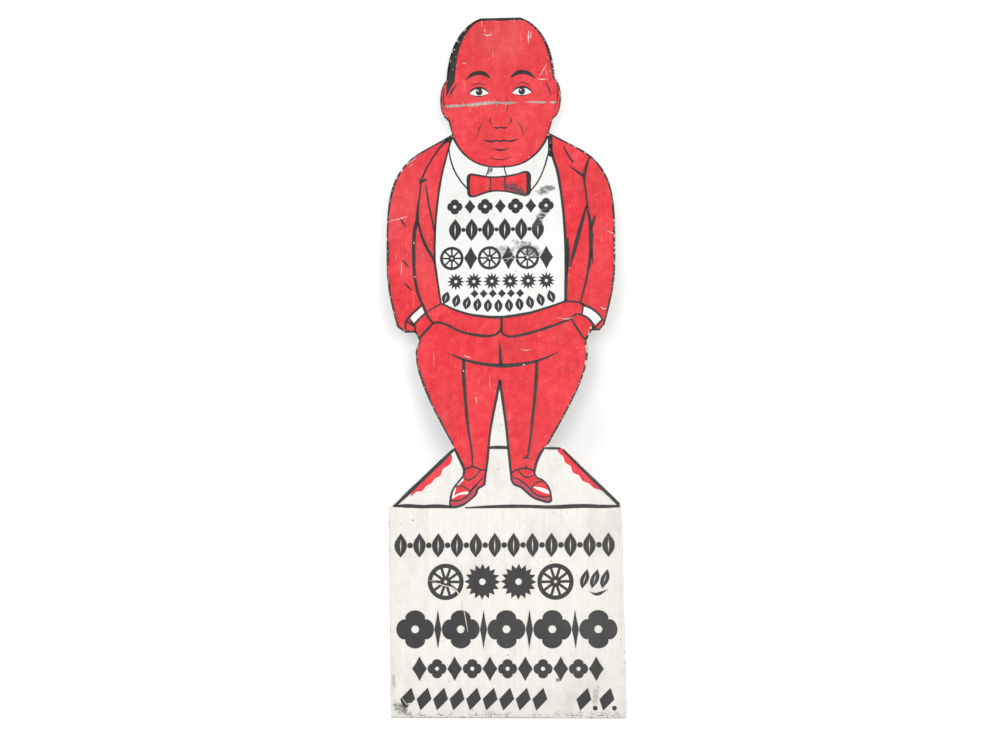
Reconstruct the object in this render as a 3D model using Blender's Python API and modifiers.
"""Tin advertising sign: a die-cut figure on a pedestal panel, held up by a folding tin easel at its back.

Metres, +Z up. The sign faces -Y and leans back. The pieces are laid out in the sheet's own frame, where
x runs across the figure's middle line, y is the distance behind the painted face and z is the height
along the sheet. One empty tilts that frame back, a second carries the leg and a third carries the stay.
"""

import math

import bmesh
import bpy
from mathutils import Matrix, Vector
from mathutils.geometry import interpolate_bezier

# Sheet
SIGN_HEIGHT = 0.692
SHEET_THICKNESS = 0.0005
LEAN = math.radians(12.0)
HEM_WIDTH = 0.007
HEM_INNER_RADIUS = 0.0003
HEM_RELIEF = 0.002
FOOT_FLANGE_DEPTH = 0.015
FOOT_BEND_RADIUS = 0.001

# Pedestal panel and the drawn top of the pedestal
PANEL_WIDTH = 0.229
PANEL_HEIGHT = 0.2038
PANEL_SHIFT = 0.0036
PANEL_SKEW = 0.0034
PLINTH_BACK_HEIGHT = 0.2615
PLINTH_BACK_RIGHT = 0.0625
PANEL_CORNER_RISE = 0.0015

# Figure, as half widths from its middle line and heights along the sheet
LEG_HALF_WIDTH = 0.046
LEFT_HIP_HALF_WIDTH = 0.084
RIGHT_HIP_HALF_WIDTH = 0.0862
HIP_HEIGHT = 0.355
LEFT_POCKET_HALF_WIDTH = 0.0806
RIGHT_POCKET_HALF_WIDTH = 0.0847
LEFT_POCKET_HEIGHT = 0.3678
RIGHT_POCKET_HEIGHT = 0.3652
LEFT_CUFF_INNER_HALF_WIDTH = 0.0845
RIGHT_CUFF_INNER_HALF_WIDTH = 0.090
LEFT_CUFF_OUTER_HALF_WIDTH = 0.0945
RIGHT_CUFF_OUTER_HALF_WIDTH = 0.0975
CUFF_HEIGHT = 0.375
WRIST_HALF_WIDTH = 0.1025
WRIST_HEIGHT = 0.381
ARM_HALF_WIDTH = 0.1135
ELBOW_HEIGHT = 0.462
SHOULDER_HALF_WIDTH = 0.083
SHOULDER_HEIGHT = 0.555
NECK_HEIGHT = 0.574

# How far the figure's curves run on from each end before they turn, as shares of the stretch
LEG_RUN_OUT = 0.21
LEG_RUN_UP = 0.37
HIP_RUN_DOWN = 0.26
HIP_RUN_UP = 0.38
WRIST_RUN_OUT = 0.13
WRIST_RUN_UP = 0.46
ELBOW_RUN_DOWN = 0.42
ELBOW_RUN_UP = 0.44
SHOULDER_RUN_OUT = 1.0
SHOULDER_RUN_DOWN = 0.22

# Head
HEAD_HALF_WIDTH = 0.0545
HEAD_CENTRE_HEIGHT = 0.6175
HEAD_HALF_HEIGHT = 0.0775
HEAD_ROUNDNESS = 2.4
EAR_HALF_WIDTH = 0.0605
EAR_CENTRE_HEIGHT = 0.609
EAR_HALF_HEIGHT = 0.021
EAR_ROOT = 0.003

# Spine and braces, folded from tin and soldered to the back
STRIP_THICKNESS = 0.0006
SPINE_WEB_WIDTH = 0.030
SPINE_FLANGE = 0.008
SPINE_DEPTH = 0.005
SPINE_BOTTOM = 0.024
SPINE_TOP = 0.602
BRACE_WEB_WIDTH = 0.010
BRACE_FLANGE = 0.005
BRACE_DEPTH = 0.003
ARM_BRACE_HEIGHT = 0.470
ARM_BRACE_END_MARGIN = 0.012
PANEL_BRACE_HEIGHT = 0.120
PANEL_BRACE_END_MARGIN = 0.003
STRIP_BEND_RADIUS = 0.0009

# Easel leg
HINGE_HEIGHT = 0.430
LEG_SLOPE = math.radians(9.5)
LEG_THICKNESS = 0.0008
LEG_TOP_WIDTH = 0.024
LEG_BOTTOM_WIDTH = 0.040
LEG_REAR_DEPTH = 0.006
LEG_FRONT_DEPTH = 0.0045
LEG_LUG_HEIGHT = 0.006
LEG_WEB_START = 0.010
LEG_CHEEK_END = 0.008
LEG_LUG_ROUNDING = 0.0042
LEG_FOOT_DEPTH = 0.020
LEG_BEND_RADIUS = 0.001

# Brackets
BRACKET_THICKNESS = 0.001
HINGE_EAR_HALF_LENGTH = 0.0075
HINGE_EAR_RISE = 0.006
HINGE_BASE_HALF_LENGTH = 0.024
HINGE_RIVET_OFFSET = 0.017
HINGE_RIVET_SPACING = 0.014
STAY_EAR_HALF_LENGTH = 0.006
STAY_EAR_RISE = 0.0036
STAY_BASE_HALF_LENGTH = 0.016
STAY_RIVET_OFFSET = 0.0112
HINGE_BASE_CLEARANCE = 0.0005
EAR_ROUNDING_SHARE = 0.9

# Stay
STAY_LENGTH = 0.120
STAY_WIDTH = 0.022
STAY_THICKNESS = 0.0008
STAY_HALF_DEPTH = 0.004
STAY_LUG_ROUNDING = 0.0036
STAY_WEB_INSET = 0.011

# Pins, washers, sleeves and rivets
PIN_RADIUS = 0.0015
PIN_HEAD_RADIUS = 0.003
PIN_HEAD_HEIGHT = 0.0011
SLIDE_PIN_RADIUS = 0.00125
SLIDE_PIN_HEAD_RADIUS = 0.0027
WASHER_RADIUS = 0.0042
WASHER_THICKNESS = 0.0005
SLEEVE_RADIUS = 0.0022
RIVET_RADIUS = 0.0014
RIVET_HEAD_RADIUS = 0.0028
RIVET_HEAD_HEIGHT = 0.0012
RIVET_TAIL_RADIUS = 0.0022
RIVET_TAIL_HEIGHT = 0.0009

# Clearances
SEAT_GAP = 0.0003
PIN_CLEARANCE = 0.0002
SLOT_CLEARANCE = 0.00025
END_PLAY = 0.0003
FACE_TOLERANCE = 0.000001

# Fineness of curves
ROUND_STEPS = 28
ARC_STEPS = 8
CURVE_STEPS = 14
HEAD_STEPS = 64
MERGE_DISTANCE = 0.00001
SHARP_ANGLE = math.radians(35)

# Places that follow from the sizes, in the sheet's frame
SHEET_BACK = SHEET_THICKNESS
STRIP_MID = SHEET_BACK + SEAT_GAP + STRIP_THICKNESS / 2
SPINE_BACK = SHEET_BACK + SEAT_GAP + SPINE_DEPTH
BASE_MID = SPINE_BACK + SEAT_GAP + BRACKET_THICKNESS / 2
BASE_BACK = BASE_MID + BRACKET_THICKNESS / 2
AXIS_DEPTH = BASE_BACK + LEG_LUG_HEIGHT + HINGE_BASE_CLEARANCE
HEM_RADIUS = HEM_INNER_RADIUS + SHEET_THICKNESS
FOOT_RADIUS = FOOT_BEND_RADIUS + SHEET_THICKNESS
LEG_OPEN = LEAN + LEG_SLOPE
STAY_OPEN = 2 * LEG_OPEN
STAY_PIVOT_HEIGHT = HINGE_HEIGHT - STAY_LENGTH
SLIDE_OPEN = 2 * STAY_LENGTH * math.cos(LEG_OPEN)
SLIDE_FOLDED = 2 * STAY_LENGTH
LEG_WEB_MID = LEG_REAR_DEPTH - LEG_THICKNESS / 2
PIN_HOLE_RADIUS = PIN_RADIUS + PIN_CLEARANCE
RIVET_HOLE_RADIUS = RIVET_RADIUS + PIN_CLEARANCE
LIFT = FOOT_RADIUS * (1 - math.cos(LEAN) + math.sin(LEAN))


def world_yz(y, z):
    """Where a point of the sheet's frame lies once the sheet leans, before it is centred."""
    return (y * math.cos(LEAN) + z * math.sin(LEAN), z * math.cos(LEAN) - y * math.sin(LEAN) + LIFT)


def leg_foot_centre():
    """Depth and height, in the leg's frame, of the bend where the web turns out into the foot."""
    pin_height = world_yz(AXIS_DEPTH, HINGE_HEIGHT)[1]
    y = LEG_REAR_DEPTH + LEG_BEND_RADIUS
    drop = pin_height - LEG_BEND_RADIUS - LEG_THICKNESS
    return y, -(drop + y * math.sin(LEG_SLOPE)) / math.cos(LEG_SLOPE)


def leg_half_width(z):
    """Half the leg's outer width at a height below its pin; the leg widens steadily towards the foot."""
    share = -z / -leg_foot_centre()[1]
    return (LEG_TOP_WIDTH + (LEG_BOTTOM_WIDTH - LEG_TOP_WIDTH) * share) / 2


def panel_edge(side, z):
    """The panel's left (-1) or right (+1) edge at a height. The panel was cut a little askew."""
    slide = PANEL_SKEW * (1 - z / PANEL_HEIGHT)
    return side * PANEL_WIDTH / 2 + PANEL_SHIFT + slide


def centre_shift():
    """How far the whole sign moves to stand its box on the origin."""
    left = -ARM_HALF_WIDTH
    right = panel_edge(1, FOOT_RADIUS + HEM_RELIEF)
    front = FOOT_RADIUS * (math.cos(LEAN) + math.sin(LEAN) - 1)
    pin_y = world_yz(AXIS_DEPTH, HINGE_HEIGHT)[0]
    y, z = leg_foot_centre()
    rear = pin_y + y * math.cos(LEG_SLOPE) - z * math.sin(LEG_SLOPE) + LEG_FOOT_DEPTH
    return Vector((-(left + right) / 2, -(front + rear) / 2, LIFT))


# Scene and materials


def clear_scene():
    for item in list(bpy.data.objects):
        bpy.data.objects.remove(item, do_unlink=True)


def new_collection(name):
    group = bpy.data.collections.new(name)
    bpy.context.scene.collection.children.link(group)
    return group


def finish(name, colour, roughness, metallic):
    paint = bpy.data.materials.new(name)
    paint.use_nodes = True
    shader = paint.node_tree.nodes["Principled BSDF"]
    shader.inputs["Base Color"].default_value = (*colour, 1)
    shader.inputs["Roughness"].default_value = roughness
    shader.inputs["Metallic"].default_value = metallic
    return paint


def pivot(name, parent, place, turn):
    item = bpy.data.objects.new(name, None)
    item.parent = parent
    item.location = place
    item.rotation_euler = (turn, 0, 0)
    PARTS.objects.link(item)
    return item


def add_piece(name, mesh, parent, paint):
    item = bpy.data.objects.new(name, mesh)
    item.parent = parent
    mesh.materials.append(paint)
    PARTS.objects.link(item)
    return item


def mesh_of(bm, name):
    mesh = bpy.data.meshes.new(name)
    bm.to_mesh(mesh)
    bm.free()
    return mesh


def thicken(item, thickness, offset):
    wall = item.modifiers.new("Wall", "SOLIDIFY")
    wall.thickness = thickness
    wall.offset = offset
    wall.use_even_offset = True
    return wall


def cutter(name, bm, parent):
    item = bpy.data.objects.new(name, mesh_of(bm, name))
    item.parent = parent
    item.hide_render = True
    item.display_type = "WIRE"
    CUTTERS.objects.link(item)
    return item


def cut(item, tool):
    step = item.modifiers.new(tool.name, "BOOLEAN")
    step.operation = "DIFFERENCE"
    step.solver = "EXACT"
    step.object = tool


# Shapes of more than one piece


def rounded(points, radius):
    """The corners between the first and last point of an open profile, turned into arcs."""
    out = [points[0]]
    for before, corner, after in zip(points, points[1:], points[2:]):
        a = (before - corner).normalized()
        b = (after - corner).normalized()
        half = a.angle(b) / 2
        reach = radius / math.tan(half)
        start = corner + a * reach
        centre = corner + (a + b).normalized() * (radius / math.sin(half))
        turn = math.pi - 2 * half
        if a.cross(b) > 0:
            turn = -turn
        for step in range(ARC_STEPS + 1):
            out.append(centre + Matrix.Rotation(turn * step / ARC_STEPS, 2) @ (start - centre))
    out.append(points[-1])
    return out


def hat_profile(web_width, flange, depth):
    """Half-thickness line of a hat-shaped strip: flange, wall, web, wall, flange."""
    low = STRIP_MID
    high = SHEET_BACK + SEAT_GAP + depth - STRIP_THICKNESS / 2
    half = (web_width - STRIP_THICKNESS) / 2
    edge = web_width / 2 + flange
    line = [(-edge, low), (-half, low), (-half, high), (half, high), (half, low), (edge, low)]
    return rounded([Vector(point) for point in line], STRIP_BEND_RADIUS)


def hat_strip(name, profile, place, start, end, parent, paint):
    """A hat-shaped strip drawn along an edge: place(u, y, t) puts a profile point at a run t."""
    bm = bmesh.new()
    verts = [bm.verts.new(place(u, y, start)) for u, y in profile]
    edges = [bm.edges.new(pair) for pair in zip(verts, verts[1:])]
    grown = bmesh.ops.extrude_edge_only(bm, edges=edges)["geom"]
    top = [item for item in grown if isinstance(item, bmesh.types.BMVert)]
    step = place(0, 0, end) - place(0, 0, start)
    bmesh.ops.translate(bm, verts=top, vec=step)
    bmesh.ops.recalc_face_normals(bm, faces=bm.faces)
    item = add_piece(name, mesh_of(bm, name), parent, paint)
    thicken(item, STRIP_THICKNESS, 0)
    return item


def web_of(bm, stations, y):
    """A flat web of stacked bands; stations are (height, half width) from the top down."""
    rows = []
    for z, half in stations:
        rows.append((bm.verts.new((-half, y, z)), bm.verts.new((half, y, z))))
    for upper, lower in zip(rows, rows[1:]):
        bm.faces.new((upper[0], upper[1], lower[1], lower[0]))
    return rows


def folded_up(bm, edges, move):
    """Extrudes edges of the sheet along a straight move and gives back the new verts."""
    grown = bmesh.ops.extrude_edge_only(bm, edges=edges)["geom"]
    verts = [item for item in grown if isinstance(item, bmesh.types.BMVert)]
    bmesh.ops.translate(bm, verts=verts, vec=move)
    return verts


def lengthen(bm, x_side, z, move):
    """Extends a cheek's end at height z, on one side of x, by a move along the cheek."""
    near = [
        edge
        for edge in bm.edges
        if edge.is_boundary
        and all(abs(vert.co.z - z) < FACE_TOLERANCE and vert.co.x * x_side > 0 for vert in edge.verts)
        and abs(edge.verts[0].co.y - edge.verts[1].co.y) > FACE_TOLERANCE
    ]
    return folded_up(bm, near, move)


def round_corners(bm, corners, radius):
    """Rounds the free corners of flat cheeks or ears."""
    bmesh.ops.bevel(
        bm, geom=corners, offset=radius, segments=ARC_STEPS, profile=0.5, affect="VERTICES"
    )


def rod_cutter(name, y, z, radius, half_length, parent):
    """A cutter for a hole across the piece, along x."""
    bm = bmesh.new()
    bmesh.ops.create_cone(
        bm, cap_ends=True, segments=ROUND_STEPS, radius1=radius, radius2=radius, depth=2 * half_length
    )
    bmesh.ops.rotate(bm, verts=bm.verts, matrix=Matrix.Rotation(math.pi / 2, 3, "Y"))
    bmesh.ops.translate(bm, verts=bm.verts, vec=(0, y, z))
    return cutter(name, bm, parent)


def slot_cutter(name, y, z_top, z_bottom, radius, half_length, parent):
    """A cutter for a slot with round ends across the piece, along x."""
    bm = bmesh.new()
    bmesh.ops.create_cone(
        bm, cap_ends=True, segments=ROUND_STEPS, radius1=radius, radius2=radius, depth=2 * half_length
    )
    bmesh.ops.rotate(bm, verts=bm.verts, matrix=Matrix.Rotation(math.pi / 2, 3, "Y"))
    for vert in bm.verts:
        vert.co.z += z_top if vert.co.z > 0 else z_bottom
        vert.co.y += y
    return cutter(name, bm, parent)


def well_cutter(name, places, radius, y_low, y_high, parent):
    """Cutters for rivet holes through a web, along y, as one tool."""
    bm = bmesh.new()
    for x, z in places:
        made = bmesh.ops.create_cone(
            bm, cap_ends=True, segments=ROUND_STEPS, radius1=radius, radius2=radius, depth=y_high - y_low
        )
        bmesh.ops.rotate(bm, verts=made["verts"], matrix=Matrix.Rotation(math.pi / 2, 3, "X"))
        bmesh.ops.translate(bm, verts=made["verts"], vec=(x, (y_low + y_high) / 2, z))
    return cutter(name, bm, parent)


def turned(name, profile, closed, parent, paint):
    """A turned piece: a profile of (radius, height), run down its outer side, swept round Z."""
    bm = bmesh.new()
    verts = [bm.verts.new((radius, 0, height)) for radius, height in profile]
    pairs = list(zip(verts, verts[1:]))
    if closed:
        pairs.append((verts[-1], verts[0]))
    for pair in pairs:
        bm.edges.new(pair)
    item = add_piece(name, mesh_of(bm, f"{name}_profile"), parent, paint)
    sweep = item.modifiers.new("Turn", "SCREW")
    sweep.steps = ROUND_STEPS
    sweep.render_steps = ROUND_STEPS
    sweep.use_merge_vertices = True
    sweep.merge_threshold = MERGE_DISTANCE
    bpy.context.view_layer.update()
    swept = item.evaluated_get(bpy.context.evaluated_depsgraph_get())
    item.data = bpy.data.meshes.new_from_object(swept)
    item.data.name = name
    item.modifiers.clear()
    item.data.shade_smooth()
    item.data.set_sharp_from_angle(angle=SHARP_ANGLE)
    return item


def dome(radius, height, top, up):
    """Profile points of a low rounded head; up is +1 for a head on top, -1 for one below."""
    points = []
    for step in range(ARC_STEPS // 2 + 1):
        angle = math.pi / 2 * step / (ARC_STEPS // 2)
        points.append((radius * math.sin(angle), top - up * height * (1 - math.cos(angle))))
    return points if up > 0 else points[::-1]


def headed_pin(name, radius, head_radius, half_length, parent, paint):
    """A pin along x with a peened head at each end; half_length is to the heads' undersides."""
    top = dome(head_radius, PIN_HEAD_HEIGHT, half_length + PIN_HEAD_HEIGHT, 1)
    bottom = dome(head_radius, PIN_HEAD_HEIGHT, -half_length - PIN_HEAD_HEIGHT, -1)
    profile = top + [(radius, half_length), (radius, -half_length)] + bottom
    item = turned(name, profile, False, parent, paint)
    item.rotation_euler = (0, math.pi / 2, 0)
    return item


def ring(name, inner, outer, x_low, x_high, parent, paint):
    """A washer or sleeve on a pin, between two places along x."""
    profile = [(outer, x_high), (outer, x_low), (inner, x_low), (inner, x_high)]
    item = turned(name, profile, True, parent, paint)
    item.rotation_euler = (0, math.pi / 2, 0)
    return item


# Die-cut sheet


def head_half_width(z):
    """Half the head's width at a height: a full oval, with the ears where they stand further out."""
    rise = abs(z - HEAD_CENTRE_HEIGHT) / HEAD_HALF_HEIGHT
    skull = HEAD_HALF_WIDTH * max(0, 1 - rise**HEAD_ROUNDNESS) ** (1 / HEAD_ROUNDNESS)
    lift = abs(z - EAR_CENTRE_HEIGHT) / EAR_HALF_HEIGHT
    if lift >= 1:
        return skull
    root = HEAD_HALF_WIDTH - EAR_ROOT
    return max(skull, root + (EAR_HALF_WIDTH - root) * math.sqrt(1 - lift**2))


def curve(start, leave, arrive, end):
    """Points along one smooth stretch of the figure's outline, without its last point."""
    points = interpolate_bezier(*[Vector((*p, 0)) for p in (start, leave, arrive, end)], CURVE_STEPS)
    return [(point.x, point.y) for point in points[:-1]]


def figure_side(hip_half_width, pocket, cuff_inner_half_width, cuff_outer_half_width):
    """The figure's edge on one side, from the plinth up to the sheet's top, as half widths and heights."""
    leg = (LEG_HALF_WIDTH, PLINTH_BACK_HEIGHT)
    hip = (hip_half_width, HIP_HEIGHT)
    wrist = (WRIST_HALF_WIDTH, WRIST_HEIGHT)
    elbow = (ARM_HALF_WIDTH, ELBOW_HEIGHT)
    shoulder = (SHOULDER_HALF_WIDTH, SHOULDER_HEIGHT)
    neck = (head_half_width(NECK_HEIGHT), NECK_HEIGHT)
    leg_rise = HIP_HEIGHT - PLINTH_BACK_HEIGHT
    hip_rise = pocket[1] - HIP_HEIGHT
    arm_rise = ELBOW_HEIGHT - WRIST_HEIGHT
    shoulder_rise = SHOULDER_HEIGHT - ELBOW_HEIGHT
    shoulder_run = ARM_HALF_WIDTH - SHOULDER_HALF_WIDTH
    points = curve(
        leg,
        (leg[0] + leg_rise * LEG_RUN_OUT, leg[1] + leg_rise * LEG_RUN_UP),
        (hip[0], hip[1] - leg_rise * HIP_RUN_DOWN),
        hip,
    )
    points += curve(
        hip,
        (hip[0], hip[1] + hip_rise * HIP_RUN_UP),
        (pocket[0], pocket[1] - hip_rise * HIP_RUN_UP),
        pocket,
    )
    points += [pocket, (cuff_inner_half_width, CUFF_HEIGHT), (cuff_outer_half_width, CUFF_HEIGHT)]
    points += curve(
        wrist,
        (wrist[0] + arm_rise * WRIST_RUN_OUT, wrist[1] + arm_rise * WRIST_RUN_UP),
        (elbow[0], elbow[1] - arm_rise * ELBOW_RUN_DOWN),
        elbow,
    )
    points += curve(
        elbow,
        (elbow[0], elbow[1] + shoulder_rise * ELBOW_RUN_UP),
        (
            shoulder[0] + shoulder_run * SHOULDER_RUN_OUT,
            shoulder[1] - shoulder_rise * SHOULDER_RUN_DOWN,
        ),
        shoulder,
    )
    points += [shoulder]
    for step in range(HEAD_STEPS + 1):
        z = neck[1] + (SIGN_HEIGHT - neck[1]) * step / HEAD_STEPS
        points.append((head_half_width(z), z))
    return points


def build_sheet(parent, paint):
    """One tin blank: panel and figure cut in one, hems folded back, foot turned back at the bottom."""
    bm = bmesh.new()
    left_side = figure_side(
        LEFT_HIP_HALF_WIDTH,
        (LEFT_POCKET_HALF_WIDTH, LEFT_POCKET_HEIGHT),
        LEFT_CUFF_INNER_HALF_WIDTH,
        LEFT_CUFF_OUTER_HALF_WIDTH,
    )
    right_side = figure_side(
        RIGHT_HIP_HALF_WIDTH,
        (RIGHT_POCKET_HALF_WIDTH, RIGHT_POCKET_HEIGHT),
        RIGHT_CUFF_INNER_HALF_WIDTH,
        RIGHT_CUFF_OUTER_HALF_WIDTH,
    )
    hem_low = FOOT_RADIUS + HEM_RELIEF
    hem_high = PANEL_HEIGHT - HEM_RELIEF

    def panel_point(way, z):
        return (panel_edge(way, z) - way * HEM_RADIUS, z)

    right = [panel_point(1, FOOT_RADIUS), panel_point(1, hem_low), panel_point(1, hem_high)]
    right += [
        panel_point(1, PANEL_HEIGHT + PANEL_CORNER_RISE),
        (PLINTH_BACK_RIGHT, PLINTH_BACK_HEIGHT),
    ]
    left = [(-x, z) for x, z in reversed(left_side)]
    left += [panel_point(-1, PANEL_HEIGHT), panel_point(-1, hem_high)]
    left += [panel_point(-1, hem_low), panel_point(-1, FOOT_RADIUS)]
    verts = [bm.verts.new((x, 0, z)) for x, z in right + right_side + left]
    bm.faces.new(verts)
    hems = ((verts[1], verts[2], 1), (verts[-3], verts[-2], -1))
    for low, high, way in hems:
        fold_hem(bm, low, high, way)
    fold_foot(bm, bm.edges.get((verts[0], verts[-1])))
    bm.normal_update()
    item = add_piece("sign_sheet", mesh_of(bm, "sign_sheet"), parent, paint)
    thicken(item, SHEET_THICKNESS, -1)
    return item


def spin_edge(bm, edge, centre, axis, angle):
    """Bends the sheet round an axis from one edge and gives back the bend's last edge."""
    made = bmesh.ops.spin(
        bm, geom=[edge, *edge.verts], cent=centre, axis=axis, angle=angle, steps=ARC_STEPS
    )
    return [item for item in made["geom_last"] if isinstance(item, bmesh.types.BMEdge)]


def fold_hem(bm, low, high, way):
    """Folds one side edge of the panel flat against the back."""
    a = low.co if way > 0 else high.co
    b = high.co if way > 0 else low.co
    axis = (b - a).normalized()
    centre = (a + b) / 2 + Vector((0, HEM_RADIUS, 0))
    last = spin_edge(bm, bm.edges.get((low, high)), centre, axis, math.pi)
    inward = axis.cross(Vector((0, 1, 0)))
    folded_up(bm, last, inward * HEM_WIDTH * (1 if inward.x * way < 0 else -1))


def fold_foot(bm, edge):
    """Turns the sheet back under the panel into a foot that lies flat on the ground."""
    centre = (edge.verts[0].co + edge.verts[1].co) / 2 + Vector((0, FOOT_RADIUS, 0))
    last = spin_edge(bm, edge, centre, Vector((1, 0, 0)), math.pi / 2 + LEAN)
    back = Vector((0, math.cos(LEAN), math.sin(LEAN)))
    folded_up(bm, last, back * FOOT_FLANGE_DEPTH)


# Stiffeners on the back


def build_spine(parent, paint):
    profile = hat_profile(SPINE_WEB_WIDTH, SPINE_FLANGE, SPINE_DEPTH)
    item = hat_strip(
        "spine", profile, lambda u, y, t: Vector((u, y, t)), SPINE_BOTTOM, SPINE_TOP, parent, paint
    )
    holes = hinge_rivets() + stay_rivets()
    cut(item, well_cutter("spine_holes", holes, RIVET_HOLE_RADIUS, STRIP_MID, BASE_BACK, parent))


def build_brace(name, way, height, reach, parent, paint):
    """A short hat-shaped strip from the spine's flange out towards the sheet's edge."""
    profile = hat_profile(BRACE_WEB_WIDTH, BRACE_FLANGE, BRACE_DEPTH)
    start = SPINE_WEB_WIDTH / 2 + SPINE_FLANGE + SEAT_GAP
    hat_strip(
        name,
        profile,
        lambda u, y, t: Vector((way * t, y, height + u)),
        start,
        reach,
        parent,
        paint,
    )


def build_braces(parent, paint):
    for way, side in ((-1, "left"), (1, "right")):
        arm_reach = ARM_HALF_WIDTH - ARM_BRACE_END_MARGIN
        build_brace(f"arm_brace_{side}", way, ARM_BRACE_HEIGHT, arm_reach, parent, paint)
        panel_reach = abs(panel_edge(way, PANEL_BRACE_HEIGHT)) - HEM_RADIUS - HEM_WIDTH
        panel_reach -= PANEL_BRACE_END_MARGIN
        build_brace(f"panel_brace_{side}", way, PANEL_BRACE_HEIGHT, panel_reach, parent, paint)


# Brackets, pins and rivets on the spine


def hinge_ear_inner():
    """Half the room between the hinge bracket's ears: the leg's top, a washer each side and end play."""
    return leg_half_width(LEG_LUG_HEIGHT) + WASHER_THICKNESS + 2 * END_PLAY


def stay_ear_outer():
    """Half the width over the stay bracket's ears, which stand inside the stay."""
    return STAY_WIDTH / 2 - STAY_THICKNESS - END_PLAY


def hinge_rivets():
    half = HINGE_RIVET_SPACING / 2
    return [
        (x, HINGE_HEIGHT + z) for z in (HINGE_RIVET_OFFSET, -HINGE_RIVET_OFFSET) for x in (-half, half)
    ]


def stay_rivets():
    return [(0, STAY_PIVOT_HEIGHT + STAY_RIVET_OFFSET), (0, STAY_PIVOT_HEIGHT - STAY_RIVET_OFFSET)]


def build_bracket(name, height, half_width, base_half, ear_half, ear_top, rivets, parent, paint):
    """A plate on the spine with an ear folded out on each side to carry a pin."""
    bm = bmesh.new()
    heights = (height + base_half, height + ear_half, height - ear_half, height - base_half)
    rows = web_of(bm, [(z, half_width) for z in heights], BASE_MID)
    folds = [bm.edges.get((rows[1][side], rows[2][side])) for side in (0, 1)]
    corners = []
    for fold in folds:
        corners += folded_up(bm, [fold], (0, ear_top - BASE_MID, 0))
    round_corners(bm, corners, ear_half * EAR_ROUNDING_SHARE)
    bmesh.ops.recalc_face_normals(bm, faces=bm.faces)
    item = add_piece(name, mesh_of(bm, name), parent, paint)
    thicken(item, BRACKET_THICKNESS, 0)
    cut(item, rod_cutter(f"{name}_bore", AXIS_DEPTH, height, PIN_HOLE_RADIUS, 2 * half_width, parent))
    web_front = SPINE_BACK - STRIP_THICKNESS
    cut(item, well_cutter(f"{name}_holes", rivets, RIVET_HOLE_RADIUS, web_front, AXIS_DEPTH, parent))
    return item


def build_hinge(parent, paint, steel):
    ear_mid = hinge_ear_inner() + BRACKET_THICKNESS / 2
    build_bracket(
        "hinge_bracket",
        HINGE_HEIGHT,
        ear_mid,
        HINGE_BASE_HALF_LENGTH,
        HINGE_EAR_HALF_LENGTH,
        AXIS_DEPTH + HINGE_EAR_RISE,
        hinge_rivets(),
        parent,
        paint,
    )
    half_length = ear_mid + BRACKET_THICKNESS / 2 + END_PLAY
    pin = headed_pin("hinge_pin", PIN_RADIUS, PIN_HEAD_RADIUS, half_length, parent, steel)
    pin.location = (0, AXIS_DEPTH, HINGE_HEIGHT)
    inner = hinge_ear_inner() - END_PLAY
    for way, side in ((-1, "left"), (1, "right")):
        low, high = sorted((way * inner, way * (inner - WASHER_THICKNESS)))
        washer = ring(f"hinge_washer_{side}", PIN_HOLE_RADIUS, WASHER_RADIUS, low, high, parent, steel)
        washer.location = (0, AXIS_DEPTH, HINGE_HEIGHT)


def build_stay_bracket(parent, paint, steel):
    ear_mid = stay_ear_outer() - BRACKET_THICKNESS / 2
    build_bracket(
        "stay_bracket",
        STAY_PIVOT_HEIGHT,
        ear_mid,
        STAY_BASE_HALF_LENGTH,
        STAY_EAR_HALF_LENGTH,
        AXIS_DEPTH + STAY_EAR_RISE,
        stay_rivets(),
        parent,
        paint,
    )
    half_length = STAY_WIDTH / 2 + END_PLAY
    pin = headed_pin("stay_pin", SLIDE_PIN_RADIUS, SLIDE_PIN_HEAD_RADIUS, half_length, parent, steel)
    pin.location = (0, AXIS_DEPTH, STAY_PIVOT_HEIGHT)


def build_rivets(parent, steel):
    """Rivets through a bracket's plate and the spine's web, a domed head outside and a flat tail within."""
    top = BASE_BACK + SEAT_GAP
    under = SPINE_BACK - STRIP_THICKNESS - SEAT_GAP
    profile = dome(RIVET_HEAD_RADIUS, RIVET_HEAD_HEIGHT, top + RIVET_HEAD_HEIGHT, 1)
    tail = under - RIVET_TAIL_HEIGHT
    profile += [(RIVET_RADIUS, top), (RIVET_RADIUS, under), (RIVET_TAIL_RADIUS, under)]
    profile += [(RIVET_TAIL_RADIUS, tail), (0, tail)]
    for label, places in (("hinge", hinge_rivets()), ("stay", stay_rivets())):
        for number, (x, z) in enumerate(places, 1):
            rivet = turned(f"{label}_rivet_{number}", profile, False, parent, steel)
            rivet.rotation_euler = (-math.pi / 2, 0, 0)
            rivet.location = (x, 0, z)


# Easel leg and stay


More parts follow.
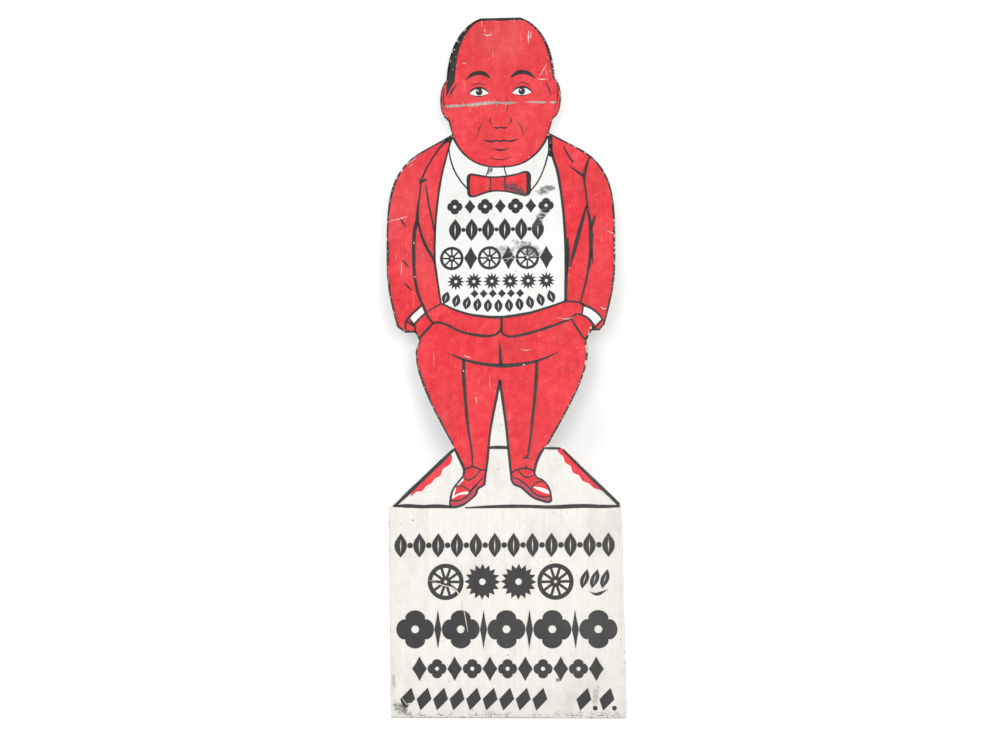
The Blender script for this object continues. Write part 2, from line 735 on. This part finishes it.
def build_leg(parent, paint):
    """A tapered channel of tin: web behind, cheeks in front, lugs round the pin, foot turned out."""
    bm = bmesh.new()
    foot_y, foot_z = leg_foot_centre()
    cheek_end = foot_z + LEG_CHEEK_END
    inset = LEG_THICKNESS / 2
    heights = (-LEG_WEB_START, cheek_end, foot_z)
    rows = web_of(bm, [(z, leg_half_width(z) - inset) for z in heights], LEG_WEB_MID)
    folds = [bm.edges.get((rows[0][side], rows[1][side])) for side in (0, 1)]
    for fold in folds:
        folded_up(bm, [fold], (0, -LEG_FRONT_DEPTH - LEG_WEB_MID, 0))
    bottom = bm.edges.get((rows[2][0], rows[2][1]))
    last = spin_edge(bm, bottom, Vector((0, foot_y, foot_z)), Vector((1, 0, 0)), math.pi / 2 - LEG_SLOPE)
    out = Vector((0, math.cos(LEG_SLOPE), -math.sin(LEG_SLOPE)))
    folded_up(bm, last, out * LEG_FOOT_DEPTH)
    corners = []
    rise = LEG_WEB_START + LEG_LUG_HEIGHT
    lean_in = leg_half_width(LEG_LUG_HEIGHT) - leg_half_width(-LEG_WEB_START)
    for way in (-1, 1):
        corners += lengthen(bm, way, -LEG_WEB_START, (way * lean_in, 0, rise))
    round_corners(bm, corners, LEG_LUG_ROUNDING)
    bmesh.ops.recalc_face_normals(bm, faces=bm.faces)
    item = add_piece("easel_leg", mesh_of(bm, "easel_leg"), parent, paint)
    thicken(item, LEG_THICKNESS, 0)
    reach = LEG_BOTTOM_WIDTH
    cut(item, rod_cutter("leg_bore", 0, 0, PIN_HOLE_RADIUS, reach, parent))
    radius = SLIDE_PIN_RADIUS + SLOT_CLEARANCE
    cut(item, slot_cutter("leg_slot", 0, -SLIDE_OPEN, -SLIDE_FOLDED, radius, reach, parent))


def build_stay(parent, paint, steel):
    """A small channel that straddles its bracket at one end and carries the sliding pin at the other."""
    bm = bmesh.new()
    web_y = STAY_HALF_DEPTH - STAY_THICKNESS / 2
    half = STAY_WIDTH / 2 - STAY_THICKNESS / 2
    heights = (-STAY_WEB_INSET, -STAY_LENGTH + STAY_WEB_INSET)
    rows = web_of(bm, [(z, half) for z in heights], web_y)
    for side in (0, 1):
        fold = bm.edges.get((rows[0][side], rows[1][side]))
        folded_up(bm, [fold], (0, -STAY_HALF_DEPTH - web_y, 0))
    corners = []
    reach = STAY_WEB_INSET + STAY_HALF_DEPTH
    for way in (-1, 1):
        corners += lengthen(bm, way, heights[0], (0, 0, reach))
        corners += lengthen(bm, way, heights[1], (0, 0, -reach))
    round_corners(bm, corners, STAY_LUG_ROUNDING)
    bmesh.ops.recalc_face_normals(bm, faces=bm.faces)
    item = add_piece("easel_stay", mesh_of(bm, "easel_stay"), parent, paint)
    thicken(item, STAY_THICKNESS, 0)
    radius = SLIDE_PIN_RADIUS + PIN_CLEARANCE
    for name, z in (("stay_bore_top", 0), ("stay_bore_bottom", -STAY_LENGTH)):
        cut(item, rod_cutter(name, 0, z, radius, STAY_WIDTH, parent))
    cheek = leg_half_width(-SLIDE_FOLDED)
    pin = headed_pin("slide_pin", SLIDE_PIN_RADIUS, SLIDE_PIN_HEAD_RADIUS, cheek + END_PLAY, parent, steel)
    pin.location = (0, 0, -STAY_LENGTH)
    start = STAY_WIDTH / 2 + END_PLAY
    stop = leg_half_width(-SLIDE_OPEN) - LEG_THICKNESS - END_PLAY
    for way, label in ((-1, "left"), (1, "right")):
        low, high = sorted((way * start, way * stop))
        sleeve = ring(f"slide_sleeve_{label}", radius, SLEEVE_RADIUS, low, high, parent, steel)
        sleeve.location = (0, 0, -STAY_LENGTH)


clear_scene()
PARTS = new_collection("tin_advertising_sign")
CUTTERS = new_collection("cutters")
painted_tin = finish("painted_tin", (0.80, 0.77, 0.71), 0.45, 0.0)
back_tin = finish("back_tin", (0.46, 0.45, 0.43), 0.5, 0.9)
leg_tin = finish("leg_tin", (0.40, 0.39, 0.38), 0.5, 0.9)
pin_steel = finish("pin_steel", (0.30, 0.29, 0.28), 0.4, 1.0)

sheet_tilt = pivot("sheet_tilt", None, centre_shift(), -LEAN)
leg_hinge = pivot("leg_hinge", sheet_tilt, (0, AXIS_DEPTH, HINGE_HEIGHT), LEG_OPEN)
stay_hinge = pivot("stay_hinge", sheet_tilt, (0, AXIS_DEPTH, STAY_PIVOT_HEIGHT), STAY_OPEN)

build_sheet(sheet_tilt, painted_tin)
build_spine(sheet_tilt, back_tin)
build_braces(sheet_tilt, back_tin)
build_hinge(sheet_tilt, back_tin, pin_steel)
build_stay_bracket(sheet_tilt, back_tin, pin_steel)
build_rivets(sheet_tilt, pin_steel)
build_leg(leg_hinge, leg_tin)
build_stay(stay_hinge, leg_tin, pin_steel)
